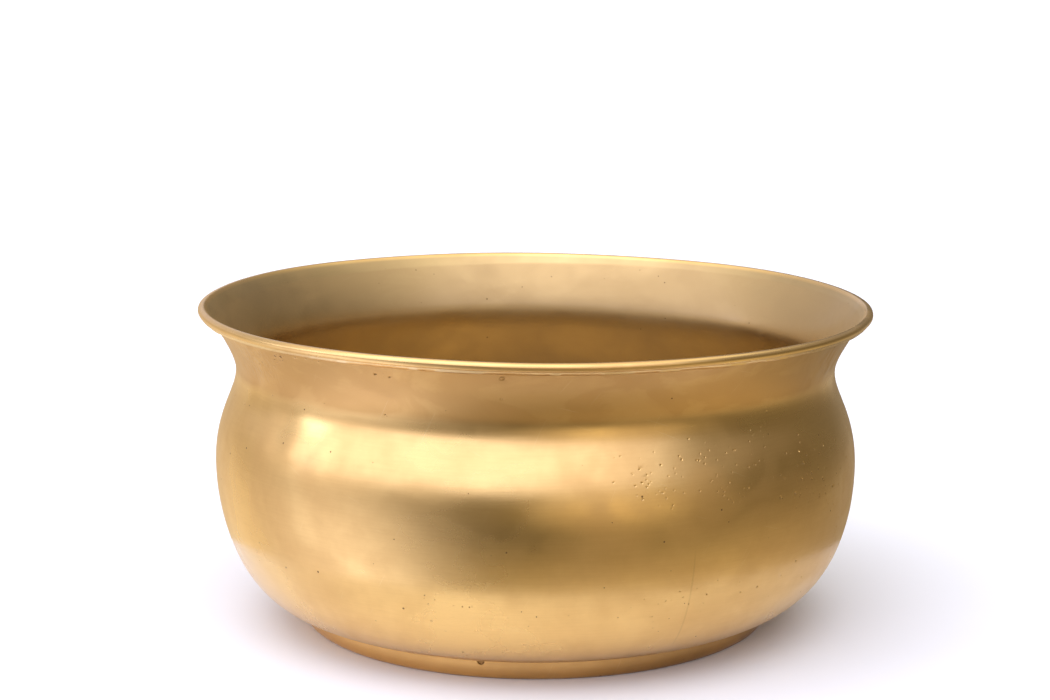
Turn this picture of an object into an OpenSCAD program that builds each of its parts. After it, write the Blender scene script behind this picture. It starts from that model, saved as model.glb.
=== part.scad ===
// Round brass ice and bottle tub: a spun bowl with its lip rolled over a wire,
// standing on a separate foot ring. The origin is the centre of the floor, +Z up.

/* [Lip] */
// Diameter over the rolled lip
rim_d = 480; // [450:2:520]
// Height of the tub from the floor to the top of the lip
tub_h = 228; // [222:1:240]
// Diameter of the steel wire inside the roll
wire_d = 3; // [2:0.5:4]
// Clearance between the wire and the sheet round it
wire_gap = 0.1; // [0.05:0.05:0.3]
// Slope of the flare where the sheet starts to roll, in degrees above level
lip_slope = 47; // [40:1:55]
// How far the sheet is rolled round the wire, in degrees
roll_turn = 284; // [270:1:288]

/* [Bowl] */
// Thickness of the brass sheet
sheet_t = 1.5; // [1:0.1:2]
// Diameter of the belly at its widest
belly_d = 460; // [440:2:470]
// Height of the widest part of the belly
belly_z = 116; // [105:1:125]
// Diameter of the waist under the flare
waist_d = 428.5; // [410:0.5:434]
// Height of the waist
waist_z = 183; // [176:1:190]
// Diameter of the level middle of the bottom
base_d = 210; // [120:10:260]
// Height of the level middle of the bottom
base_z = 10; // [7:0.5:11]
// Slope of the bottom where it sits on the foot ring, in degrees
land_slope = 8; // [6:1:12]

/* [Foot ring] */
// Diameter of the foot ring at its top edge
foot_d = 340; // [320:2:350]
// Diameter of the flat that it stands on
stand_d = 328; // [310:2:334]
// Height of the foot ring at its outer top edge
foot_h = 14.2; // [13:0.1:18]
// Thickness of the foot ring's band
foot_t = 2; // [1.5:0.1:2.5]
// Width of the flange turned in under the foot ring
flange_w = 8; // [5:1:12]

/* [Solder] */
// Width of the solder fillet inside the foot ring
inner_fillet = 3.5; // [2:0.5:5]
// Width of the thin solder line outside the foot ring
outer_fillet = 1.2; // [0.8:0.1:1.5]
// Drop of the solder run below the roll's lowest point
rim_run_drop = 1.9; // [1.5:0.1:2.2]
// How far the solder run's low corner sits inside the middle of the roll
rim_run_inset = 1.4; // [1:0.1:2]

/* [Hidden] */
$fn = 180;

// Steps along each curve
base_steps = 6;
belly_steps = 16;
shoulder_steps = 12;
flare_steps = 10;
roll_steps = 24;
foot_steps = 12;

// The roll: the sheet's outside lies on the inner circle, its inside becomes the outer circle
roll_in = wire_d / 2 + wire_gap;
roll_out = roll_in + sheet_t;
roll_c = [rim_d / 2 - roll_out, tub_h - roll_out];
roll_start = lip_slope + 90;

// The solder run starts at this step of the roll's outer circle, and ends this many steps down the flare
run_step = 17;
run_wall_steps = 2;

// The land is the straight band of the bottom that the foot ring and its solder touch
foot_r = foot_d / 2;
land_inside = 7;
land_outside = 2;
land_in_r = foot_r - land_inside;
land_out_r = foot_r + land_outside;

// How far each curve's handles reach from its ends
base_reach = 22;
belly_low_reach = 40;
belly_top_reach = 45;
shoulder_low_reach = 36;
shoulder_top_reach = 18.5;
flare_low_reach = 13;
flare_top_reach = 7.5;
foot_low_reach = 6;
foot_top_reach = 4;
foot_straight = 3;

function heading(a) = [cos(a), sin(a)];
function land_z(r) = foot_h + (r - foot_r) * tan(land_slope);
function polar(c, r, a) = c + r * heading(a);

// A cubic curve through p[0] and p[3] with handles p[1] and p[2], and its direction
function curve(p, t) =
    pow(1 - t, 3) * p[0] + 3 * t * pow(1 - t, 2) * p[1] + 3 * t * t * (1 - t) * p[2] + pow(t, 3) * p[3];
function curve_way(p, t) =
    pow(1 - t, 2) * (p[1] - p[0]) + 2 * t * (1 - t) * (p[2] - p[1]) + t * t * (p[3] - p[2]);
function beside(p, t, gap) =
    let (way = curve_way(p, t)) curve(p, t) + gap * [-way[1], way[0]] / norm(way);
function trace(p, steps, gap) = [for (i = [0:steps]) beside(p, i / steps, gap)];

// The outside of the bowl, from the middle of the bottom to the roll
base_start = [base_d / 2, base_z];
land_in = [land_in_r, land_z(land_in_r)];
land_out = [land_out_r, land_z(land_out_r)];
belly = [belly_d / 2, belly_z];
waist = [waist_d / 2, waist_z];
lip = polar(roll_c, roll_in, roll_start);
land_way = heading(land_slope);
up = [0, 1];

base_curve = [base_start, base_start + [base_reach, 0], land_in - base_reach * land_way, land_in];
belly_curve = [land_out, land_out + belly_low_reach * land_way, belly - belly_top_reach * up, belly];
shoulder_curve = [belly, belly + shoulder_low_reach * up, waist - shoulder_top_reach * up, waist];
flare_curve = [waist, waist + flare_low_reach * up, lip - flare_top_reach * heading(lip_slope), lip];

function wall(gap) = concat(
    [[0, base_z + gap]],
    trace(base_curve, base_steps, gap),
    trace(belly_curve, belly_steps, gap),
    [for (i = [1:shoulder_steps]) beside(shoulder_curve, i / shoulder_steps, gap)],
    [for (i = [1:flare_steps]) beside(flare_curve, i / flare_steps, gap)]
);
function roll_arc(r) = [for (i = [0:roll_steps]) polar(roll_c, r, roll_start - roll_turn * i / roll_steps)];
function reversed(list) = [for (i = [len(list) - 1:-1:0]) list[i]];
function from_item(list, first) = [for (i = [first:len(list) - 1]) list[i]];

// The foot ring's outside, from its top edge round to the start of the flange
foot_top = [foot_r, foot_h];
foot_bend = foot_top - [0, foot_straight];
stand_edge = [stand_d / 2, 0];
foot_curve = [foot_bend, foot_bend - foot_top_reach * up, stand_edge + [foot_low_reach, 0], stand_edge];
flange_edge = stand_edge - [flange_w, 0];

module bowl() {
    color("goldenrod")
        rotate_extrude()
            polygon(concat(
                wall(0),
                from_item(roll_arc(roll_in), 1),
                reversed(roll_arc(roll_out)),
                from_item(reversed(wall(sheet_t)), 1)
            ));
}

module rim_wire() {
    color("silver")
        rotate_extrude()
            translate(roll_c)
                circle(d = wire_d, $fn = 32);
}

// Fills the corner between the end of the roll and the wall, and shows as a thin band
module rim_solder() {
    low_corner = roll_c - [rim_run_inset, roll_out + rim_run_drop];
    color("darkkhaki")
        rotate_extrude()
            polygon(concat(
                from_item(roll_arc(roll_out), run_step),
                [for (i = [1:run_wall_steps]) curve(flare_curve, 1 - i / flare_steps)],
                [low_corner]
            ));
}

module foot_ring() {
    color("peru")
        rotate_extrude()
            polygon(concat(
                [foot_top],
                trace(foot_curve, foot_steps, 0),
                [flange_edge, flange_edge + [0, foot_t]],
                reversed(trace(foot_curve, foot_steps, -foot_t)),
                [[foot_r - foot_t, land_z(foot_r - foot_t)]]
            ));
}

module foot_solder_outer() {
    color("darkkhaki")
        rotate_extrude()
            polygon([
                foot_top,
                foot_top - [0, outer_fillet],
                [foot_r + outer_fillet, land_z(foot_r + outer_fillet)]
            ]);
}

module foot_solder_inner() {
    corner = [foot_r - foot_t, land_z(foot_r - foot_t)];
    color("darkkhaki")
        rotate_extrude()
            polygon([
                corner,
                [corner[0] - inner_fillet, land_z(corner[0] - inner_fillet)],
                corner - [0, min(inner_fillet, foot_straight)]
            ]);
}

bowl();
rim_wire();
rim_solder();
foot_ring();
foot_solder_outer();
foot_solder_inner();
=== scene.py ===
"""A round brass ice and bottle tub: its looks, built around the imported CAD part."""
import math
import random

import bpy
import numpy as np
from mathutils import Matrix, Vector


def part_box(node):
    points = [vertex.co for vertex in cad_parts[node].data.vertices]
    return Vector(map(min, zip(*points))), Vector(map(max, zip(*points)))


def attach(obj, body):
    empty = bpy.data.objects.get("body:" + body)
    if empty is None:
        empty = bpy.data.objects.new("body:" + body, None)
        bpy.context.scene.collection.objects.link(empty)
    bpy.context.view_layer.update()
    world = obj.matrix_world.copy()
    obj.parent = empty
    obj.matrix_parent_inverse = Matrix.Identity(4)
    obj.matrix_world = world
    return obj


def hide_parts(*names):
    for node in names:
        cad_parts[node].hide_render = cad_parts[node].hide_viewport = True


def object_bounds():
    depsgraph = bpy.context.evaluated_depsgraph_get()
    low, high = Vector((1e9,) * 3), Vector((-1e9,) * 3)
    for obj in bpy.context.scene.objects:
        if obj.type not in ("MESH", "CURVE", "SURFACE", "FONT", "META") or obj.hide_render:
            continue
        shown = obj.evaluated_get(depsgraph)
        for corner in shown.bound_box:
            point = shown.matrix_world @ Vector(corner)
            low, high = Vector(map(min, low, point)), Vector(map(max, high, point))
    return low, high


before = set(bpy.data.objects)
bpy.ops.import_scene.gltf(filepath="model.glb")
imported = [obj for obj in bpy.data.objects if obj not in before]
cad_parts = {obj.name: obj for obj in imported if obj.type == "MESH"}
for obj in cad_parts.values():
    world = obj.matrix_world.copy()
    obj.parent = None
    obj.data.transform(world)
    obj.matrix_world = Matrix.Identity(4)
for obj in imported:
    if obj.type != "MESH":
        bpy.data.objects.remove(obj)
cad_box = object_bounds()
MM = 0.001
UP = np.array([0.0, 1.0])
OUT = np.array([1.0, 0.0])

# ---------------------------------------------------------------- sizes

# From the frame: the roll's wire, the foot ring and the whole part.
wire_low, wire_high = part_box("rim_wire")
WIRE_R = (wire_high.z - wire_low.z) / 2
ROLL_C = np.array([wire_high.x - WIRE_R, (wire_high.z + wire_low.z) / 2])
FOOT_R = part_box("foot_ring")[1].x
TOP_Z = cad_box[1].z

# The design's own sizes, as in the part's source.
SHEET = 1.5 * MM
WIRE_GAP = 0.1 * MM
BELLY = np.array([230.0, 116.0]) * MM
WAIST = np.array([214.25, 183.0]) * MM
BASE_EDGE = np.array([105.0, 10.0]) * MM
LAND_SLOPE = 8.0
LAND_INSIDE = 7 * MM
LAND_OUTSIDE = 2 * MM
LIP_SLOPE = 47.0
ROLL_TURN = 284.0
FOOT_H = 14.2 * MM
FOOT_T = 2.0 * MM
FOOT_STRAIGHT = 3 * MM
STAND_R = 164.0 * MM
FLANGE_W = 8.0 * MM
INNER_FILLET = 3.5 * MM
OUTER_FILLET = 1.2 * MM

ROLL_IN = WIRE_R + WIRE_GAP
ROLL_OUT = ROLL_IN + SHEET
ROLL_START = LIP_SLOPE + 90
ROLL_END = ROLL_START - ROLL_TURN

# How far each curve's handles reach from its ends.
BASE_REACH = 22 * MM
BELLY_LOW_REACH = 40 * MM
BELLY_TOP_REACH = 45 * MM
SHOULDER_LOW_REACH = 36 * MM
SHOULDER_TOP_REACH = 18.5 * MM
FLARE_LOW_REACH = 13 * MM
FLARE_TOP_REACH = 7.5 * MM
FOOT_TOP_REACH = 4 * MM
FOOT_LOW_REACH = 6 * MM
FOOT_INNER_REACH = 5 * MM

# The braze under the roll: how many degrees round the roll it starts, how far it bites into the roll's skin,
# its low corner in and down from the roll's centre, how far and which way its face bulges, and how far below
# the roll it becomes fully uneven.
RUN_FROM = 197.0
RUN_BITE = 0.05 * MM
RUN_LOW = np.array([1.4, 5.0]) * MM
RUN_BULGE = 0.6 * MM
RUN_BULGE_WAY = -38.0
RUN_FREE = 1.2 * MM

# The chip in the foot ring's top edge: its azimuth, how many fine steps of the outline its middle lies below
# the edge, its radius, depth and reach, and the slant it is knocked in at.
CHIP_AT = -12.5
CHIP_DROP = 6
CHIP_R = 3.0 * MM
CHIP_DEPTH = 1.7 * MM
CHIP_REACH = 3.2 * MM
CHIP_SLANT = 45.0

# Mesh steps: columns round the tub, how many times a cell with a pit in it is divided along the outline and
# round the tub, the radius of the fan that closes the middle of the bottom, and the angle of a sharp edge.
COLUMNS = 300
FINE = 8
ACROSS = 10
HUB_R = 3 * MM
SHARP = math.radians(38)

# ---------------------------------------------------------------- how hand work left it

# The lean above the foot, and the heights it grows between.
LEAN = math.radians(0.5)
LEAN_FROM = 16 * MM
LEAN_FULL = 70 * MM
# Out of round, and the lip's rise and fall: size in mm, lobes, phase.
OUT_OF_ROUND = [(0.5, 2, 0.6), (0.25, 3, 2.1), (0.15, 5, 0.4)]
RISE = [(0.25, 3, 1.0), (0.15, 7, 2.6)]
# Unevenness all over, and of the braze under the roll: size in mm, wavelength in mm, how many waves it is
# made of, seed.
UNEVEN = [(0.10, 110, 10, 3), (0.05, 42, 24, 5), (0.006, 19, 30, 6)]
RUN_UNEVEN = [(0.16, 45, 12, 21), (0.10, 9, 16, 22)]
# Patches of waves: azimuth of the middle, half width in degrees, lowest and highest point,
# size and wavelength in mm, seed.
WAVES = [
    (-60, 14, 190, 221, 0.20, 13, 31),
    (72, 14, 184, 221, 0.24, 13, 32),
    (-52, 13, 140, 204, 0.16, 30, 33),
    (40, 24, 110, 200, 0.07, 38, 34),
]
# How a patch fades in from its low edge and out towards its high one in mm, where it ends round the tub in
# half widths, how many waves it is made of, and how they are stretched.
WAVE_FADE_LOW = 9
WAVE_FADE_HIGH = 6
WAVE_END = 1.6
WAVE_COUNT = 14
WAVE_STRETCH = np.array([1, 1, 0.5])
# A hairline crease that runs up the belly: its azimuth, the degrees it fades in between, the heights it ends
# at, and how far it fades in from each.
CREASE_AT = 26.4
CREASE_SPAN = (0.24, 0.06)
CREASE_LOW = 24 * MM
CREASE_HIGH = 104 * MM
CREASE_FADE_LOW = 12 * MM
CREASE_FADE_HIGH = 16 * MM

# Casting pits: how many, round how many centres, between which azimuths and heights, and their radii in mm.
PIT_FIELDS = [
    (96, 13, (15, 43), (134, 172), (0.32, 0.56)),
    (44, 7, (44, 68), (108, 152), (0.38, 0.8)),
    (16, 3, (60, 78), (86, 150), (0.4, 0.6)),
    (26, 6, (12, 54), (46, 88), (0.4, 0.65)),
    (12, 4, (-45, 5), (44, 75), (0.38, 0.6)),
    (8, 2, (-62, -44), (203, 217), (0.5, 0.8)),
    (34, 8, (85, 290), (45, 210), (0.4, 0.75)),
]
# The share of pits near a centre, and how far they stray from it as a share of the field.
CLUSTERED = 0.65
STRAY = 1 / 9
# How far pits are stretched, and their depth as a share of their radius.
PIT_STRETCHES = (1.0, 1.4)
PIT_DEPTHS = (0.5, 0.8)
PIT_DEPTH = 0.6
# Short uneven rows of pits: first azimuth, height, how many, and how much each is above the last.
PIT_ROWS = [
    (-47, 216.6, 12, 0.02),
    (20, 66, 7, 0.5),
    (-13, 66, 5, -0.2),
    (31, 133, 6, -0.9),
    (-20, 53, 4, 0.3),
    (190, 90, 6, 0.4),
]
# Degrees from pit to pit in a row, the radii of its pits in mm, and how far they stray in mm and in degrees.
ROW_STEP = 0.8
ROW_SIZES = (0.36, 0.72)
ROW_STRAY_UP = 0.7
ROW_STRAY_ROUND = 0.5
# Single pits and small round punch marks: azimuth, height, radius in mm.
SINGLE_PITS = [
    (-26.7, 212.5, 1.0), (-24.2, 211.6, 0.8), (-26.7, 184.5, 0.6), (-55.2, 182.4, 0.6),
    (-48.8, 214.3, 1.1), (-47.0, 214.7, 1.2), (-75.0, 168.3, 0.8), (-66.5, 168.5, 0.7),
]
RING_MARKS = [(-5.4, 216.0, 2.5), (-5.7, 201.4, 1.5)]
RING_DEPTH = 0.28 * MM
# The depth at which a dent counts as fully hollow, which is where the brass is darkest.
FULLY_HOLLOW = 0.35 * MM

# Thin scratches: how the two sets are turned, scaled and thinned out, and how many a metre holds, across them
# and along them.
SCRATCH_SETS = [(0.5, 1.0, 0.76), (1.9, 0.8, 0.765)]
SCRATCHES_ACROSS = 1500.0
SCRATCHES_ALONG = 22.0
# Pores: how many cells a metre holds, the share of cells without one, and the largest pore in cells.
PORE_CELLS = 210.0
PORE_FREE = 0.93
PORE_LARGEST = 0.16

# ---------------------------------------------------------------- colours, light and camera

CLEAN = (0.82, 0.54, 0.195, 1)
AGED = (0.60, 0.35, 0.11, 1)
DARK = (0.16, 0.08, 0.025, 1)
DULL = (0.42, 0.305, 0.135, 1)
BRIGHT = (0.95, 0.78, 0.45, 1)
FOOT_CLEAN = (0.86, 0.52, 0.18, 1)
FOOT_AGED = (0.66, 0.37, 0.11, 1)
BRAZE = (0.88, 0.66, 0.34, 1)
STEEL = (0.45, 0.45, 0.46, 1)
STEEL_STAIN = (0.26, 0.22, 0.19, 1)
FLOOR_TONES = (0.86, 0.87, 0.84, 1), (0.88, 0.89, 0.86, 1)
WHITE = (1, 1, 1, 1)

TABLE_R = 0.305
FLOOR_R = 30.0
KEY = 1.7
OVERHEAD = 1.1
BACKDROP = 0.93
AMBIENT = 0.20
KEY_TINT = (0.97, 1.0, 1.36, 1)
FILL_TINT = (1.0, 0.85, 0.61, 1)
# The bright sky, each as two azimuths with the value at each: the height of its lower edge, which slopes, and
# its strength, which falls to the right and at the back.
SKY_EDGE = (-100.0, 10.0, 4.5, 15.0)
SKY_RIGHT = (34.0, 63.0, 1.0, 0.08)
SKY_BACK = (-104.0, -80.0, 0.25, 1.0)
# The degrees from its lower edge that the sky fades in between.
SKY_SOFT = (-2.0, 7.0)
# The heights between which the overhead light grows to its full strength.
OVERHEAD_SPAN = (36.0, 60.0, 0.0, OVERHEAD)
# Soft lamps and bright walls: azimuth, height, width, tallness, strength.
COOL_LAMPS = [
    (-74, -16, 32, 26, 1.1),
    (-74, -52, 32, 26, 1.4),
    (-88, 12, 4, 8, 2.4),
]
WARM_LAMPS = [
    (-142, -24, 34, 34, 0.95),
    (28, 3, 20, 12, 1.35),
    (26, -38, 54, 15, 0.42),
    (90, -50, 40, 22, 0.50),
    (105, -26, 38, 14, 0.25),
    (150, -14, 20, 10, 0.30),
]
# A dark card in front of the tub: it draws the dark line along the waist.
DARK_CARD = (10, -18, 30, 9, 0.15)

CAMERA_AT = (-0.0074, -1.628, 0.498)
CAMERA_PITCH = 10.66
LENS = 78.9
SENSOR = 36


# ---------------------------------------------------------------- outlines

def heading(degrees):
    a = math.radians(degrees)
    return np.array([math.cos(a), math.sin(a)])


def on_land(r):
    """The point of the straight band of the bottom at radius r."""
    return np.array([r, FOOT_H + (r - FOOT_R) * math.tan(math.radians(LAND_SLOPE))])


def cubic(p, steps):
    """Points along a cubic curve, and the unit normals to the right of its way."""
    t = np.linspace(0, 1, steps * FINE + 1)[:, None]
    at = (1 - t) ** 3 * p[0] + 3 * t * (1 - t) ** 2 * p[1] + 3 * t * t * (1 - t) * p[2] + t ** 3 * p[3]
    way = (1 - t) ** 2 * (p[1] - p[0]) + 2 * t * (1 - t) * (p[2] - p[1]) + t * t * (p[3] - p[2])
    way /= np.linalg.norm(way, axis=1)[:, None]
    return at, np.stack([way[:, 1], -way[:, 0]], 1)


def straight(a, b, steps):
    t = np.linspace(0, 1, steps * FINE + 1)[:, None]
    way = (b - a) / np.linalg.norm(b - a)
    return a * (1 - t) + b * t, np.tile([way[1], -way[0]], (len(t), 1))


def arc(centre, r, start, end, steps, outward=1):
    """An arc, with normals that point away from its centre, or towards it where outward is -1."""
    a = np.radians(np.linspace(start, end, steps * FINE + 1))
    out = np.stack([np.cos(a), np.sin(a)], 1)
    return centre + r * out, out * outward


def shifted(line, gap):
    """The same line moved to its left by gap, and turned round to run back."""
    at, right = line
    return (at - right * gap)[::-1], -right[::-1]


def chain(lines, closed=False):
    """Joins lines end to end into one outline: points and normals at every fine step."""
    at = [lines[0][0]] + [line[0][1:] for line in lines[1:]]
    right = [lines[0][1]] + [line[1][1:] for line in lines[1:]]
    at, right = np.vstack(at), np.vstack(right)
    if closed:
        at, right = at[:-1], right[:-1]
    return at, right


LAND_WAY = heading(LAND_SLOPE)
LAND_IN = on_land(FOOT_R - LAND_INSIDE)
LAND_OUT = on_land(FOOT_R + LAND_OUTSIDE)
LIP = ROLL_C + ROLL_IN * heading(ROLL_START)

BASE_CURVE = [BASE_EDGE, BASE_EDGE + BASE_REACH * OUT, LAND_IN - BASE_REACH * LAND_WAY, LAND_IN]
BELLY_CURVE = [LAND_OUT, LAND_OUT + BELLY_LOW_REACH * LAND_WAY, BELLY - BELLY_TOP_REACH * UP, BELLY]
SHOULDER_CURVE = [BELLY, BELLY + SHOULDER_LOW_REACH * UP, WAIST - SHOULDER_TOP_REACH * UP, WAIST]
FLARE_CURVE = [WAIST, WAIST + FLARE_LOW_REACH * UP, LIP - FLARE_TOP_REACH * heading(LIP_SLOPE), LIP]


def wall_lines(base, belly, shoulder, flare):
    """The outside of the sheet, from the middle of the bottom to the roll, with steps for each stretch."""
    hub = np.array([HUB_R, BASE_EDGE[1]])
    return [
        straight(hub, BASE_EDGE, base),
        cubic(BASE_CURVE, base),
        straight(LAND_IN, LAND_OUT, 2),
        cubic(BELLY_CURVE, belly),
        cubic(SHOULDER_CURVE, shoulder),
        cubic(FLARE_CURVE, flare),
    ]


def bowl_outline():
    front = wall_lines(base=5, belly=38, shoulder=22, flare=16)
    back = [shifted(line, SHEET) for line in reversed(wall_lines(base=4, belly=22, shoulder=14, flare=12))]
    roll_inside = arc(ROLL_C, ROLL_IN, ROLL_START, ROLL_END, 8, outward=-1)
    roll_outside = arc(ROLL_C, ROLL_OUT, ROLL_END, ROLL_START, 18)
    end = straight(roll_inside[0][-1], roll_outside[0][0], 1)
    return chain(front + [roll_inside, end, roll_outside] + back)


# ---------------------------------------------------------------- handmade shape

def smooth(x):
    x = np.clip(x, 0, 1)
    return x * x * (3 - 2 * x)


def ripple(points, wavelength, waves, seed):
    """Smooth noise from -1 to 1 or so: a sum of plane waves in seeded directions."""
    rng = np.random.default_rng(seed)
    ways = rng.normal(size=(waves, 3))
    ways /= np.linalg.norm(ways, axis=1)[:, None]
    lengths = wavelength * rng.uniform(0.7, 1.5, waves)
    phases = rng.uniform(0, 2 * math.pi, waves)
    total = np.zeros(len(points))
    for way, length, phase in zip(ways, lengths, phases):
        total += np.sin(points @ way * (2 * math.pi / length) + phase)
    return total / math.sqrt(waves)


def lobes(angle, terms):
    return sum(size * np.cos(count * angle + phase) for size, count, phase in terms)


def ripples(points, terms):
    return sum(size * ripple(points, length * MM, waves, seed) for size, length, waves, seed in terms)


def wave_patch(points, angle, middle, width, low, high, size, wavelength, seed):
    """A patch of waves that fades out at its edges. They are longer up the wall than round it."""
    height = points[:, 2] / MM
    near = smooth(WAVE_END - np.abs(np.degrees(angle) - middle) / width)
    near = near * smooth((height - low) / WAVE_FADE_LOW) * smooth((high - height) / WAVE_FADE_HIGH)
    return near * size * ripple(points * WAVE_STRETCH, wavelength * MM, WAVE_COUNT, seed)


def handmade(points):
    """Moves points of the true tub to where hand work left them. Every piece goes through the same field."""
    x, y, z = points.T
    angle = np.arctan2(x, -y)
    radius = np.maximum(np.hypot(x, y), 1e-9)
    free = smooth((z - LEAN_FROM) / (LEAN_FULL - LEAN_FROM))
    out = (lobes(angle, OUT_OF_ROUND) + ripples(points, UNEVEN)) * free
    for patch in WAVES:
        out = out + wave_patch(points, angle, *patch)
    scale = 1 + out * MM / radius
    lift = lobes(angle, RISE) * MM - x * math.tan(LEAN)
    return np.stack([x * scale, y * scale, z + lift * free], 1)


# ---------------------------------------------------------------- meshes of revolution

def dented_cells(dents, at, along, columns):
    """The cells, as (column, row) pairs, that lie within a dent's reach."""
    step = 2 * math.pi / columns
    cells = set()
    for angle, place, reach, _ in dents:
        r = at[place, 0]
        first = int((angle - reach / r) // step)
        last = int((angle + reach / r) // step)
        for j in range(len(at) // FINE):
            low, high = along[j * FINE], along[min((j + 1) * FINE, len(at) - 1)]
            if low - reach < along[place] < high + reach:
                cells.update((i % columns, j) for i in range(first, last + 1))
    return cells


def turned_faces(fine_rows, columns, closed, fine):
    """The faces of an outline turned round the Z axis, and the vertex at each (turn, row) place."""
    rows = fine_rows // FINE
    index = {}

    def vertex(i, j):
        key = (i % (columns * ACROSS), j % fine_rows if closed else j)
        return index.setdefault(key, len(index))

    def is_fine(i, j):
        return (i % columns, j % rows if closed else j) in fine

    def fine_faces(i0, j0):
        return [[vertex(i0 + a, j0 + b), vertex(i0 + a + 1, j0 + b),
                 vertex(i0 + a + 1, j0 + b + 1), vertex(i0 + a, j0 + b + 1)]
                for b in range(FINE) for a in range(ACROSS)]

    def coarse_face(i, j):
        """One face, which takes in the extra vertices of an edge that it shares with a fine cell."""
        i0, j0 = i * ACROSS, j * FINE
        low = range(0, ACROSS, 1 if is_fine(i, j - 1) else ACROSS)
        high = range(ACROSS, 0, -1 if is_fine(i, j + 1) else -ACROSS)
        after = range(0, FINE, 1 if is_fine(i + 1, j) else FINE)
        before = range(FINE, 0, -1 if is_fine(i - 1, j) else -FINE)
        face = [vertex(i0 + a, j0) for a in low]
        face += [vertex(i0 + ACROSS, j0 + b) for b in after]
        face += [vertex(i0 + a, j0 + FINE) for a in high]
        return face + [vertex(i0, j0 + b) for b in before]

    faces = []
    for j in range(rows):
        for i in range(columns):
            faces += fine_faces(i * ACROSS, j * FINE) if is_fine(i, j) else [coarse_face(i, j)]
    return faces, index


def dent_push(dents, angle, row, at, along):
    """How far the dents move each vertex along its normal. Where two meet, the deeper one counts."""
    push = np.zeros(len(row))
    for dent_angle, place, reach, shape in dents:
        turn = (angle - dent_angle + math.pi) % (2 * math.pi) - math.pi
        across, up = turn * at[place, 0], along[row] - along[place]
        near = np.nonzero((np.abs(across) < reach) & (np.abs(up) < reach))[0]
        push[near] = np.minimum(push[near], shape(across[near], up[near]))
    return push


def link_new(name, data):
    obj = bpy.data.objects.new(name, data)
    bpy.context.scene.collection.objects.link(obj)
    return obj


def revolve(name, outline, closed, dents=(), roughen=None, columns=COLUMNS, inner_from=math.inf):
    """Turns an outline round the Z axis into one closed mesh, with finer cells where it has a dent.

    A dent is (angle, point on the outline, reach, shape), and shape(across, along) gives how far the surface
    moves out. The mesh's attribute hollow says how deep each point went, from 0 to 1. Its attribute inside
    is 1 past inner_from on the outline, and on the two middles that close an open outline.
    """
    at, right = outline
    along = np.concatenate([[0], np.cumsum(np.linalg.norm(np.diff(at, axis=0), axis=1))])
    fine = dented_cells(dents, at, along, columns)
    faces, index = turned_faces(len(at), columns, closed, fine)
    turn, row = np.array(list(index)).T
    angle = turn * (2 * math.pi / columns) / ACROSS
    push = dent_push(dents, angle, row, at, along)
    hollow = list(np.clip(-push / FULLY_HOLLOW, 0, 1))
    inside = list(np.where(row > inner_from, 1.0, 0.0))
    if roughen is not None:
        push += roughen(angle, at[row])
    r, z = (at[row] + right[row] * push[:, None]).T
    points = handmade(np.stack([r * np.sin(angle), -r * np.cos(angle), z], 1))

    verts = [tuple(p) for p in points]
    if not closed:
        for end, order in ((0, -1), (len(at) - 1, 1)):
            ring = [index[(i * ACROSS, end)] for i in range(columns)]
            faces += [[a, b, len(verts)][::order] for a, b in zip(ring, ring[1:] + ring[:1])]
            verts.append(tuple(points[ring].mean(0)))
            hollow.append(0.0)
            inside.append(1.0)

    mesh = bpy.data.meshes.new(name)
    mesh.from_pydata(verts, [], faces)
    mesh.update()
    for label, values in (("hollow", hollow), ("inside", inside)):
        mesh.attributes.new(label, "FLOAT", "POINT").data.foreach_set("value", values)
    mesh.shade_smooth()
    mesh.set_sharp_from_angle(angle=SHARP)
    return link_new(name, mesh)


# ---------------------------------------------------------------- pits and marks

def pit(reach, depth, turn=0.0, stretch=1.0):
    """An open hole with steep sides: its shape as a push along the normal, from the place in the surface."""
    c, s = math.cos(turn), math.sin(turn)

    def shape(across, up):
        a = (across * c + up * s) / stretch
        b = -across * s + up * c
        q = np.hypot(a, b) / reach
        return -depth * smooth((1 - q) * 1.7)

    return shape


def punch_ring(reach, depth):
    """A small round groove, as a tool or a bubble leaves."""
    def shape(across, up):
        q = np.hypot(across, up * 1.2) / reach
        return -depth * np.exp(-((q - 0.6) / 0.2) ** 2)

    return shape


def row_at(outline, z):
    """The fine step of the bowl's outline at height z, on the outside of the wall."""
    at, right = outline
    wall = np.nonzero(right[:, 0] > 0)[0]
    wall = wall[wall < len(at) // 2]
    return int(wall[np.argmin(np.abs(at[wall, 1] - z))])


def scatter(rng, count, centres, angles, heights, sizes):
    """Places in loose clusters: most gather round a few centres, and the rest are spread over the field."""
    hubs = [(rng.uniform(*angles), rng.uniform(*heights)) for _ in range(centres)]
    wide, tall = (angles[1] - angles[0]) * STRAY, (heights[1] - heights[0]) * STRAY
    for _ in range(count):
        angle, height = rng.uniform(*angles), rng.uniform(*heights)
        if rng.random() < CLUSTERED:
            hub = rng.choice(hubs)
            angle, height = hub[0] + rng.gauss(0, wide), hub[1] + rng.gauss(0, tall)
        yield angle, height, rng.uniform(*sizes)


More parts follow.
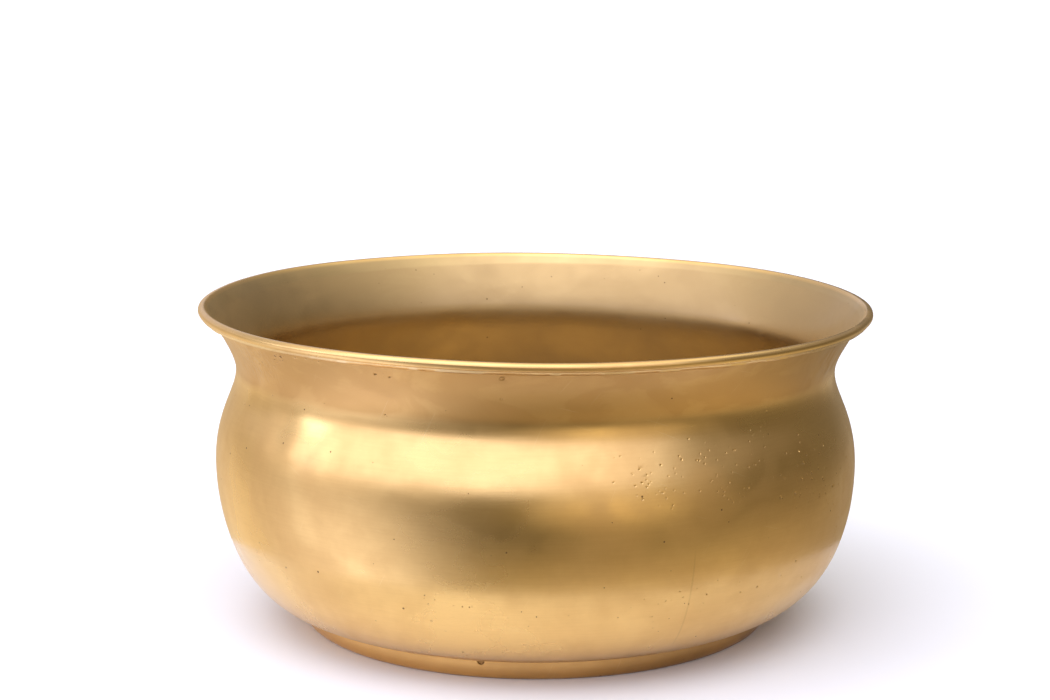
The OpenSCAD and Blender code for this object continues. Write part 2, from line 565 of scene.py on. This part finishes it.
def bowl_dents(outline):
    rng = random.Random(11)
    dents = []

    def add(angle, height, reach, shape):
        dents.append((math.radians(angle), row_at(outline, height * MM), reach, shape))

    for field in PIT_FIELDS:
        for angle, height, size in scatter(rng, *field):
            stretch = rng.uniform(*PIT_STRETCHES)
            shape = pit(size * MM, size * rng.uniform(*PIT_DEPTHS) * MM, rng.uniform(0, math.pi), stretch)
            add(angle, height, size * stretch * MM, shape)
    for start, height, count, slope in PIT_ROWS:
        for k in range(count):
            size = rng.uniform(*ROW_SIZES)
            at = height + slope * k + rng.gauss(0, ROW_STRAY_UP)
            angle = start + ROW_STEP * k + rng.gauss(0, ROW_STRAY_ROUND)
            add(angle, at, size * MM, pit(size * MM, PIT_DEPTH * size * MM))
    for angle, height, size in SINGLE_PITS:
        add(angle, height, 1.3 * size * MM, pit(size * MM, PIT_DEPTH * size * MM, turn=0.3, stretch=1.3))
    for angle, height, size in RING_MARKS:
        add(angle, height, 1.2 * size * MM, punch_ring(size * MM, RING_DEPTH))
    return dents


# ---------------------------------------------------------------- node recipes

class Recipe:
    """A short way to write the node tree of a new material or world."""

    def __init__(self, owner):
        owner.use_nodes = True
        self.tree = owner.node_tree
        self.tree.nodes.clear()

    def add(self, kind, inputs=(), **settings):
        node = self.tree.nodes.new(kind)
        for key, value in settings.items():
            setattr(node, key, value)
        for key, value in dict(inputs).items():
            self.feed(node.inputs[key], value)
        return node

    def feed(self, socket, value):
        if isinstance(value, bpy.types.NodeSocket):
            self.tree.links.new(value, socket)
        else:
            socket.default_value = value

    def math(self, operation, a, b=0.0, c=0.0, clamp=False):
        return self.add("ShaderNodeMath", {0: a, 1: b, 2: c}, operation=operation, use_clamp=clamp).outputs[0]

    def times(self, first, *others):
        for other in others:
            first = self.math("MULTIPLY", first, other)
        return first

    def stretched(self, at, factors):
        return self.add("ShaderNodeVectorMath", {0: at, 1: factors}, operation="MULTIPLY").outputs[0]

    def bearing(self, x, y):
        """The azimuth in degrees: 0 towards the camera, and + to its right."""
        return self.math("DEGREES", self.math("ARCTAN2", x, self.math("MULTIPLY", y, -1.0)))

    def noise(self, at, scale, detail=3.0, roughness=0.5, distortion=0.0):
        return self.add("ShaderNodeTexNoise", {
            "Vector": at, "Scale": scale, "Detail": detail, "Roughness": roughness, "Distortion": distortion,
        }, noise_dimensions="3D").outputs["Fac"]

    def span(self, value, low, high, to_low=0.0, to_high=1.0, soft=True):
        kind = "SMOOTHSTEP" if soft else "LINEAR"
        inputs = {"Value": value, "From Min": low, "From Max": high, "To Min": to_low, "To Max": to_high}
        return self.add("ShaderNodeMapRange", inputs, interpolation_type=kind).outputs["Result"]

    def mix(self, factor, a, b):
        node = self.add("ShaderNodeMix", data_type="RGBA", blend_type="MIX")
        sockets = {s.identifier: s for s in node.inputs}
        for key, value in (("Factor_Float", factor), ("A_Color", a), ("B_Color", b)):
            self.feed(sockets[key], value)
        return [s for s in node.outputs if s.identifier == "Result_Color"][0]

    def bump(self, height, distance, strength=1.0, normal=None):
        inputs = {"Height": height, "Distance": distance, "Strength": strength}
        if normal is not None:
            inputs["Normal"] = normal
        return self.add("ShaderNodeBump", inputs).outputs["Normal"]

    def output(self, kind, shader):
        self.add(kind, {"Surface": shader})


# ---------------------------------------------------------------- brass

class TubRecipe(Recipe):
    """A recipe that knows where on the tub it is."""

    def __init__(self, owner):
        super().__init__(owner)
        self.place = self.add("ShaderNodeTexCoord").outputs["Object"]
        self.x, self.y, self.z = self.add("ShaderNodeSeparateXYZ", {0: self.place}).outputs
        squares = self.math("ADD", self.times(self.x, self.x), self.times(self.y, self.y))
        self.radius = self.math("SQRT", squares)
        # Grows along the bottom as well as up the wall.
        self.up_wall = self.math("MULTIPLY_ADD", self.radius, 0.7, self.z)
        self.azimuth = self.bearing(self.x, self.y)
        self.inside = self.add("ShaderNodeAttribute", attribute_name="inside").outputs["Fac"]
        self.outside = self.math("SUBTRACT", 1.0, self.inside)
        self.hollow = self.add("ShaderNodeAttribute", attribute_name="hollow").outputs["Fac"]

    def turned_lines(self, width, length):
        """Places squeezed so that noise on them makes lines round the tub."""
        x, y = self.times(self.x, 1 / length), self.times(self.y, 1 / length)
        up = self.times(self.up_wall, 1 / width)
        return self.add("ShaderNodeCombineXYZ", {0: x, 1: y, 2: up}).outputs[0]

    def between(self, value, start, full, hold, end):
        """Rises from 0 at start to 1 at full, and falls again from hold to end."""
        return self.times(self.span(value, start, full), self.span(value, end, hold))


def scratches(m):
    """Two sets of thin lines, drawn on the wall as if it were rolled out flat."""
    rolled_out = m.times(m.azimuth, BELLY[0] * math.radians(1))
    flat = m.add("ShaderNodeCombineXYZ", {0: rolled_out, 1: m.up_wall}).outputs[0]
    sets = []
    for turn, scale, threshold in SCRATCH_SETS:
        turned = m.add("ShaderNodeVectorRotate", {"Vector": flat, "Axis": (0, 0, 1), "Angle": turn})
        thin = m.stretched(turned.outputs[0], (SCRATCHES_ACROSS * scale, SCRATCHES_ALONG * scale, 1.0))
        sets.append(m.span(m.noise(thin, 1.0, 1.0, 0.4), threshold, threshold + 0.03))
    return m.math("MAXIMUM", *sets)


def pores(m):
    """Round dots in a few of the cells of a pattern, each of its own size."""
    cells = m.add("ShaderNodeTexVoronoi", {"Vector": m.place, "Scale": PORE_CELLS, "Randomness": 1.0})
    lot = m.add("ShaderNodeSeparateColor", {0: cells.outputs["Color"]}).outputs[0]
    size = m.span(lot, PORE_FREE, 1.0, 0.0, PORE_LARGEST, soft=False)
    return m.math("LESS_THAN", cells.outputs["Distance"], size)


def tarnish_and_neck_shade(m, clouds, mottle, age):
    """Tarnished clouds all over, and a patchy dark cover on the neck: partly tarnished brass, partly painted
    shade.
    """
    cover = m.math("MULTIPLY_ADD", mottle, 0.35, m.times(clouds, 0.75))
    cover = m.times(m.span(cover, 0.42, 0.72), age)
    # Painted shade, partly tarnished brass: the whole neck below the roll is darkened in patches.
    neck = m.between(m.z, WAIST[1] - 4 * MM, WAIST[1] + 6 * MM, TOP_Z - 9 * MM, TOP_Z - 6 * MM)
    patches = m.noise(m.stretched(m.place, (1.0, 1.0, 1.7)), 21.0, 5.0, 0.55, 0.7)
    return m.math("MAXIMUM", cover, m.times(neck, m.span(patches, 0.38, 0.60, 0.8, 1.25)))


def foot_darkening_and_painted_shade(m, clouds):
    """Darker on the foot ring and just above it, with painted shade growing towards +X, away from the key
    light.
    """
    low = m.span(m.z, FOOT_H + 3 * MM, FOOT_H - 1 * MM)
    uneven = m.span(clouds, 0.35, 0.65, 0.7, 1.0)
    # Painted shade: the foot ring's +X side, away from the key light, is darkened more.
    painted_shade_side = m.span(m.x, -0.7 * FOOT_R, 0.9 * FOOT_R, 0.25, 1.4, soft=False)
    return m.times(low, uneven, painted_shade_side, m.span(m.radius, FOOT_R - 12 * MM, FOOT_R - 6 * MM))


def belly_crease(m):
    off = m.math("ABSOLUTE", m.math("SUBTRACT", m.azimuth, CREASE_AT))
    low_full, high_full = CREASE_LOW + CREASE_FADE_LOW, CREASE_HIGH - CREASE_FADE_HIGH
    tall = m.between(m.z, CREASE_LOW, low_full, high_full, CREASE_HIGH)
    return m.times(m.span(off, *CREASE_SPAN), tall, m.outside)


def neck_crinkles(m):
    """Fine unevenness on both sides of the neck: crinkles on the left, streaks up the wall on the right."""
    neck = m.between(m.z, WAIST[1] + 4 * MM, WAIST[1] + 16 * MM, TOP_Z - 13 * MM, TOP_Z - 9 * MM)
    neck = m.times(neck, m.outside)
    left = m.between(m.azimuth, -70.0, -62.0, -54.0, -48.0)
    right = m.between(m.azimuth, 54.0, 70.0, 80.0, 88.0)
    crinkle = m.noise(m.stretched(m.place, (1.0, 1.0, 0.55)), 190.0, 2.0, 0.5, 0.8)
    streaks = m.noise(m.stretched(m.place, (1.0, 1.0, 0.3)), 75.0, 2.0, 0.5, 0.5)
    return m.times(crinkle, left, neck), m.times(streaks, right, neck)


def brass(name, clean, aged, roughness=0.30, age=0.5):
    """Satin hand-polished brass: tarnished clouds, turned brushing, scratches, pores, darker creases and
    painted shade.
    """
    material = bpy.data.materials.new(name)
    m = TubRecipe(material)
    clouds = m.noise(m.place, 7.0, 4.0, 0.55, 0.6)
    mottle = m.noise(m.place, 38.0, 6.0, 0.62)
    brushing = m.noise(m.turned_lines(1.1 * MM, 26 * MM), 1.0, 3.0, 0.6)
    bands = m.noise(m.turned_lines(9 * MM, 160 * MM), 1.0, 2.0, 0.5)
    tall = m.stretched(m.place, (1.0, 1.0, 1.6))
    stain = m.span(m.noise(tall, 11.0, 2.0, 0.4, 1.4), 0.43, 0.63)
    stain = m.times(stain, m.span(m.noise(m.place, 5.0, 1.0), 0.45, 0.65))
    smear = m.span(m.noise(tall, 16.0, 2.0, 0.4, 1.8), 0.40, 0.66)
    scratch, pore, crease = scratches(m), pores(m), belly_crease(m)
    crinkle, streaks = neck_crinkles(m)
    tarnish_and_shade = tarnish_and_neck_shade(m, clouds, mottle, age)

    # Tarnished colour, and painted shade on the neck.
    colour = m.mix(tarnish_and_shade, clean, aged)
    for cover, tone in (
        (m.span(brushing, 0.3, 0.75, 0.0, 0.16), aged),
        # The foot and its corner made darker, with painted shade towards +X.
        (m.times(foot_darkening_and_painted_shade(m, clouds), 0.55), DARK),
        (m.times(stain, 0.2), aged),
        (m.times(pore, 0.85), DARK),
        (m.times(scratch, 0.2), BRIGHT),
        (m.times(m.inside, 0.75), DULL),
        (m.span(m.hollow, 0.3, 1.0, 0.0, 0.75), DARK),
        (m.times(crease, 0.13), DARK),
    ):
        colour = m.mix(cover, colour, tone)

    rough = m.span(clouds, 0.3, 0.7, roughness - 0.09, roughness + 0.03)
    for mark, more in ((mottle, 0.08), (tarnish_and_shade, 0.08), (stain, 0.05), (smear, -0.04), (m.inside, 0.12)):
        rough = m.math("MULTIPLY_ADD", mark, more, rough)
    rough = m.math("MULTIPLY_ADD", pore, 0.3, rough, clamp=True)

    normal = None
    for height, distance, strength in (
        (bands, 0.05, 0.5), (crinkle, 1.6, 0.7), (streaks, 3.0, 0.6), (mottle, 0.10, 0.35),
        (brushing, 0.02, 0.5), (scratch, -0.02, 0.5), (pore, -0.25, 1.0), (crease, -0.04, 0.8),
    ):
        normal = m.bump(height, distance * MM, strength, normal)

    tangent = m.add("ShaderNodeTangent", direction_type="RADIAL", axis="Z").outputs[0]
    shader = m.add("ShaderNodeBsdfPrincipled", {
        "Base Color": colour, "Metallic": 1.0, "Roughness": rough, "Normal": normal, "Tangent": tangent,
        "Coat Weight": 0.25, "Coat Roughness": 0.15, "Coat IOR": 1.5, "Anisotropic": 0.35})
    m.output("ShaderNodeOutputMaterial", shader.outputs[0])
    return material


# ---------------------------------------------------------------- other materials

def drawn_steel():
    material = bpy.data.materials.new("drawn_steel")
    m = Recipe(material)
    place = m.add("ShaderNodeTexCoord").outputs["Object"]
    mottle = m.noise(place, 300.0, 4.0, 0.6)
    colour = m.mix(m.span(mottle, 0.4, 0.7), STEEL, STEEL_STAIN)
    rough = m.span(mottle, 0.3, 0.7, 0.3, 0.55)
    normal = m.bump(mottle, 0.05 * MM, 0.4)
    shader = m.add("ShaderNodeBsdfPrincipled", {
        "Base Color": colour, "Metallic": 1.0, "Roughness": rough, "Normal": normal})
    m.output("ShaderNodeOutputMaterial", shader.outputs[0])
    return material


def plain_floor():
    material = bpy.data.materials.new("plain_floor")
    m = Recipe(material)
    place = m.add("ShaderNodeTexCoord").outputs["Object"]
    colour = m.mix(m.span(m.noise(place, 3.0), 0.3, 0.7), *FLOOR_TONES)
    shader = m.add("ShaderNodeBsdfPrincipled", {"Base Color": colour, "Roughness": 0.6})
    m.output("ShaderNodeOutputMaterial", shader.outputs[0])
    return material


# ---------------------------------------------------------------- the pieces

def finish_piece(piece, node, material):
    piece.data.materials.append(material)
    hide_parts(node)
    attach(piece, "root")


def make_bowl(material):
    """The sheet: its inside begins a few steps past the top of the roll."""
    outline = bowl_outline()
    top = int(np.argmax(outline[0][:, 1]))
    bowl = revolve("bowl_sheet", outline, False, bowl_dents(outline), inner_from=top + 3 * FINE)
    finish_piece(bowl, "bowl", material)


def make_wire(material):
    circle = arc(ROLL_C, WIRE_R, 0, 360, 8)
    wire = revolve("rim_wire_drawn", chain([circle], closed=True), True)
    finish_piece(wire, "rim_wire", material)


def make_rim_run(material):
    """The braze that closes the roll: an uneven band with a rounded low corner."""
    flare, _ = cubic(FLARE_CURVE, 10)
    wall_top, wall_low = flare[9 * FINE], flare[8 * FINE]
    on_roll = arc(ROLL_C, ROLL_OUT - RUN_BITE, ROLL_START - RUN_FROM, ROLL_END, 4, outward=-1)
    start = on_roll[0][0]
    low = ROLL_C - RUN_LOW
    bulge = (start + low) / 2 + RUN_BULGE * heading(RUN_BULGE_WAY)
    lines = [
        on_roll,
        straight(on_roll[0][-1], wall_top, 1),
        straight(wall_top, wall_low, 1),
        straight(wall_low, low, 2),
        straight(low, bulge, 1),
        straight(bulge, start, 1),
    ]

    def uneven(angle, at):
        points = np.stack([np.sin(angle), -np.cos(angle), at[:, 1] * 40], 1) * ROLL_C[0]
        low_side = smooth((ROLL_C[1] - ROLL_OUT - at[:, 1]) / RUN_FREE)
        return low_side * ripples(points, RUN_UNEVEN) * MM

    run = revolve("rim_braze", chain(lines, closed=True), True, roughen=uneven, columns=COLUMNS * 2)
    finish_piece(run, "rim_solder", material)


def make_foot(material):
    """The foot ring, from where it stands up its outside and down its inside, with its chip."""
    top = np.array([FOOT_R, FOOT_H])
    top_in = on_land(FOOT_R - FOOT_T)
    bend = top - FOOT_STRAIGHT * UP
    inner_bend = bend - FOOT_T * OUT
    stand = np.array([STAND_R, 0.0])
    inner_stand = stand + FOOT_T * UP
    flange_tip = stand - FLANGE_W * OUT
    flange_top = flange_tip + FOOT_T * UP
    outer_curve = [stand, stand + FOOT_LOW_REACH * OUT, bend - FOOT_TOP_REACH * UP, bend]
    inner_low = inner_stand + FOOT_INNER_REACH * OUT
    inner_curve = [inner_bend, inner_bend - FOOT_TOP_REACH * UP, inner_low, inner_stand]
    lines = [
        cubic(outer_curve, 8),
        straight(bend, top, 2),
        straight(top, top_in, 1),
        straight(top_in, inner_bend, 1),
        cubic(inner_curve, 6),
        straight(inner_stand, flange_top, 1),
        straight(flange_top, flange_tip, 1),
        straight(flange_tip, stand, 2),
    ]
    at, _ = chain(lines, closed=True)
    slant = np.tile(heading(CHIP_SLANT), (len(at), 1))
    chip = (math.radians(CHIP_AT), 10 * FINE - CHIP_DROP, CHIP_REACH, pit(CHIP_R, CHIP_DEPTH))
    foot = revolve("foot_band", (at, slant), True, [chip])
    finish_piece(foot, "foot_ring", material)


def make_foot_run(name, node, corners, material):
    lines = [straight(a, b, 1) for a, b in zip(corners, corners[1:] + corners[:1])]
    run = revolve(name, chain(lines, closed=True), True)
    finish_piece(run, node, material)


def make_foot_runs(material):
    """The solder in the two corners between the foot ring and the bowl."""
    edge, corner = on_land(FOOT_R), on_land(FOOT_R - FOOT_T)
    outer = [edge, edge - OUTER_FILLET * UP, on_land(FOOT_R + OUTER_FILLET)]
    inner = [corner, on_land(corner[0] - INNER_FILLET), corner - FOOT_STRAIGHT * UP]
    make_foot_run("foot_run_outside", "foot_solder_outer", outer, material)
    make_foot_run("foot_run_inside", "foot_solder_inner", inner, material)


# ---------------------------------------------------------------- stage, light and camera

def flat_ring(name, inner, outer, sides=96):
    """A flat ring on the floor, or a disc where inner is 0."""
    turns = [2 * math.pi * k / sides for k in range(sides)]
    verts = [(outer * math.sin(a), -outer * math.cos(a), 0) for a in turns]
    faces = [list(range(sides))]
    if inner > 0:
        verts += [(inner * math.sin(a), -inner * math.cos(a), 0) for a in turns]
        faces = [(k, (k + 1) % sides, sides + (k + 1) % sides, sides + k) for k in range(sides)]
    mesh = bpy.data.meshes.new(name)
    mesh.from_pydata(verts, [], faces)
    return link_new(name, mesh)


def make_floor():
    """A pale table top that the brass mirrors, and the same floor beyond it, which it doesn't mirror."""
    material = plain_floor()
    table_top = flat_ring("table_top", 0.0, TABLE_R)
    floor = flat_ring("floor", TABLE_R, FLOOR_R)
    floor.visible_glossy = False
    for part in (table_top, floor):
        part.data.materials.append(material)


def make_world():
    """A soft studio, by direction: azimuth 0 looks from the tub to the camera, and + is to its right."""
    world = bpy.data.worlds.new("studio")
    bpy.context.scene.world = world
    m = Recipe(world)
    way = m.add("ShaderNodeTexCoord").outputs["Generated"]
    x, y, z = m.add("ShaderNodeSeparateXYZ", {0: way}).outputs
    azimuth = m.bearing(x, y)
    height = m.math("DEGREES", m.math("ARCSINE", z))

    def lobe(at, up, width, tall, strength):
        a = m.math("DIVIDE", m.math("SUBTRACT", azimuth, at), width)
        b = m.math("DIVIDE", m.math("SUBTRACT", height, up), tall)
        fall = m.math("ADD", m.times(a, a), m.times(b, b))
        return m.times(m.math("EXPONENT", m.times(fall, -1.0)), strength)

    edge = m.span(azimuth, *SKY_EDGE, soft=False)
    sky = m.span(m.math("SUBTRACT", height, edge), *SKY_SOFT)
    key = m.times(sky, m.span(azimuth, *SKY_RIGHT), m.span(azimuth, *SKY_BACK), KEY)
    for lamp in COOL_LAMPS:
        key = m.math("ADD", lobe(*lamp), key)
    fill = m.math("SUBTRACT", AMBIENT, lobe(*DARK_CARD))
    for lamp in WARM_LAMPS:
        fill = m.math("ADD", lobe(*lamp), fill)
    overhead = m.span(height, *OVERHEAD_SPAN)

    def glow(tint, strength):
        return m.add("ShaderNodeBackground", {"Color": tint, "Strength": strength}).outputs[0]

    studio = m.add("ShaderNodeAddShader", {0: glow(KEY_TINT, key), 1: glow(FILL_TINT, fill)}).outputs[0]
    studio = m.add("ShaderNodeAddShader", {0: studio, 1: glow(WHITE, overhead)}).outputs[0]
    seen = m.add("ShaderNodeLightPath").outputs["Is Camera Ray"]
    shader = m.add("ShaderNodeMixShader", {0: seen, 1: studio, 2: glow(WHITE, BACKDROP)})
    m.output("ShaderNodeOutputWorld", shader.outputs[0])


def make_camera():
    camera = bpy.data.cameras.new("camera")
    camera.sensor_width = SENSOR
    camera.lens = LENS
    obj = link_new("camera", camera)
    obj.location = CAMERA_AT
    obj.rotation_euler = (math.radians(90 - CAMERA_PITCH), 0, 0)
    bpy.context.scene.camera = obj


bpy.context.scene.view_settings.view_transform = "Standard"
make_camera()
make_world()
make_floor()
make_bowl(brass("bowl_brass", CLEAN, AGED))
make_wire(drawn_steel())
braze = brass("braze", BRAZE, CLEAN, roughness=0.33)
make_rim_run(braze)
make_foot(brass("foot_brass", FOOT_CLEAN, FOOT_AGED, roughness=0.34, age=0.35))
make_foot_runs(braze)
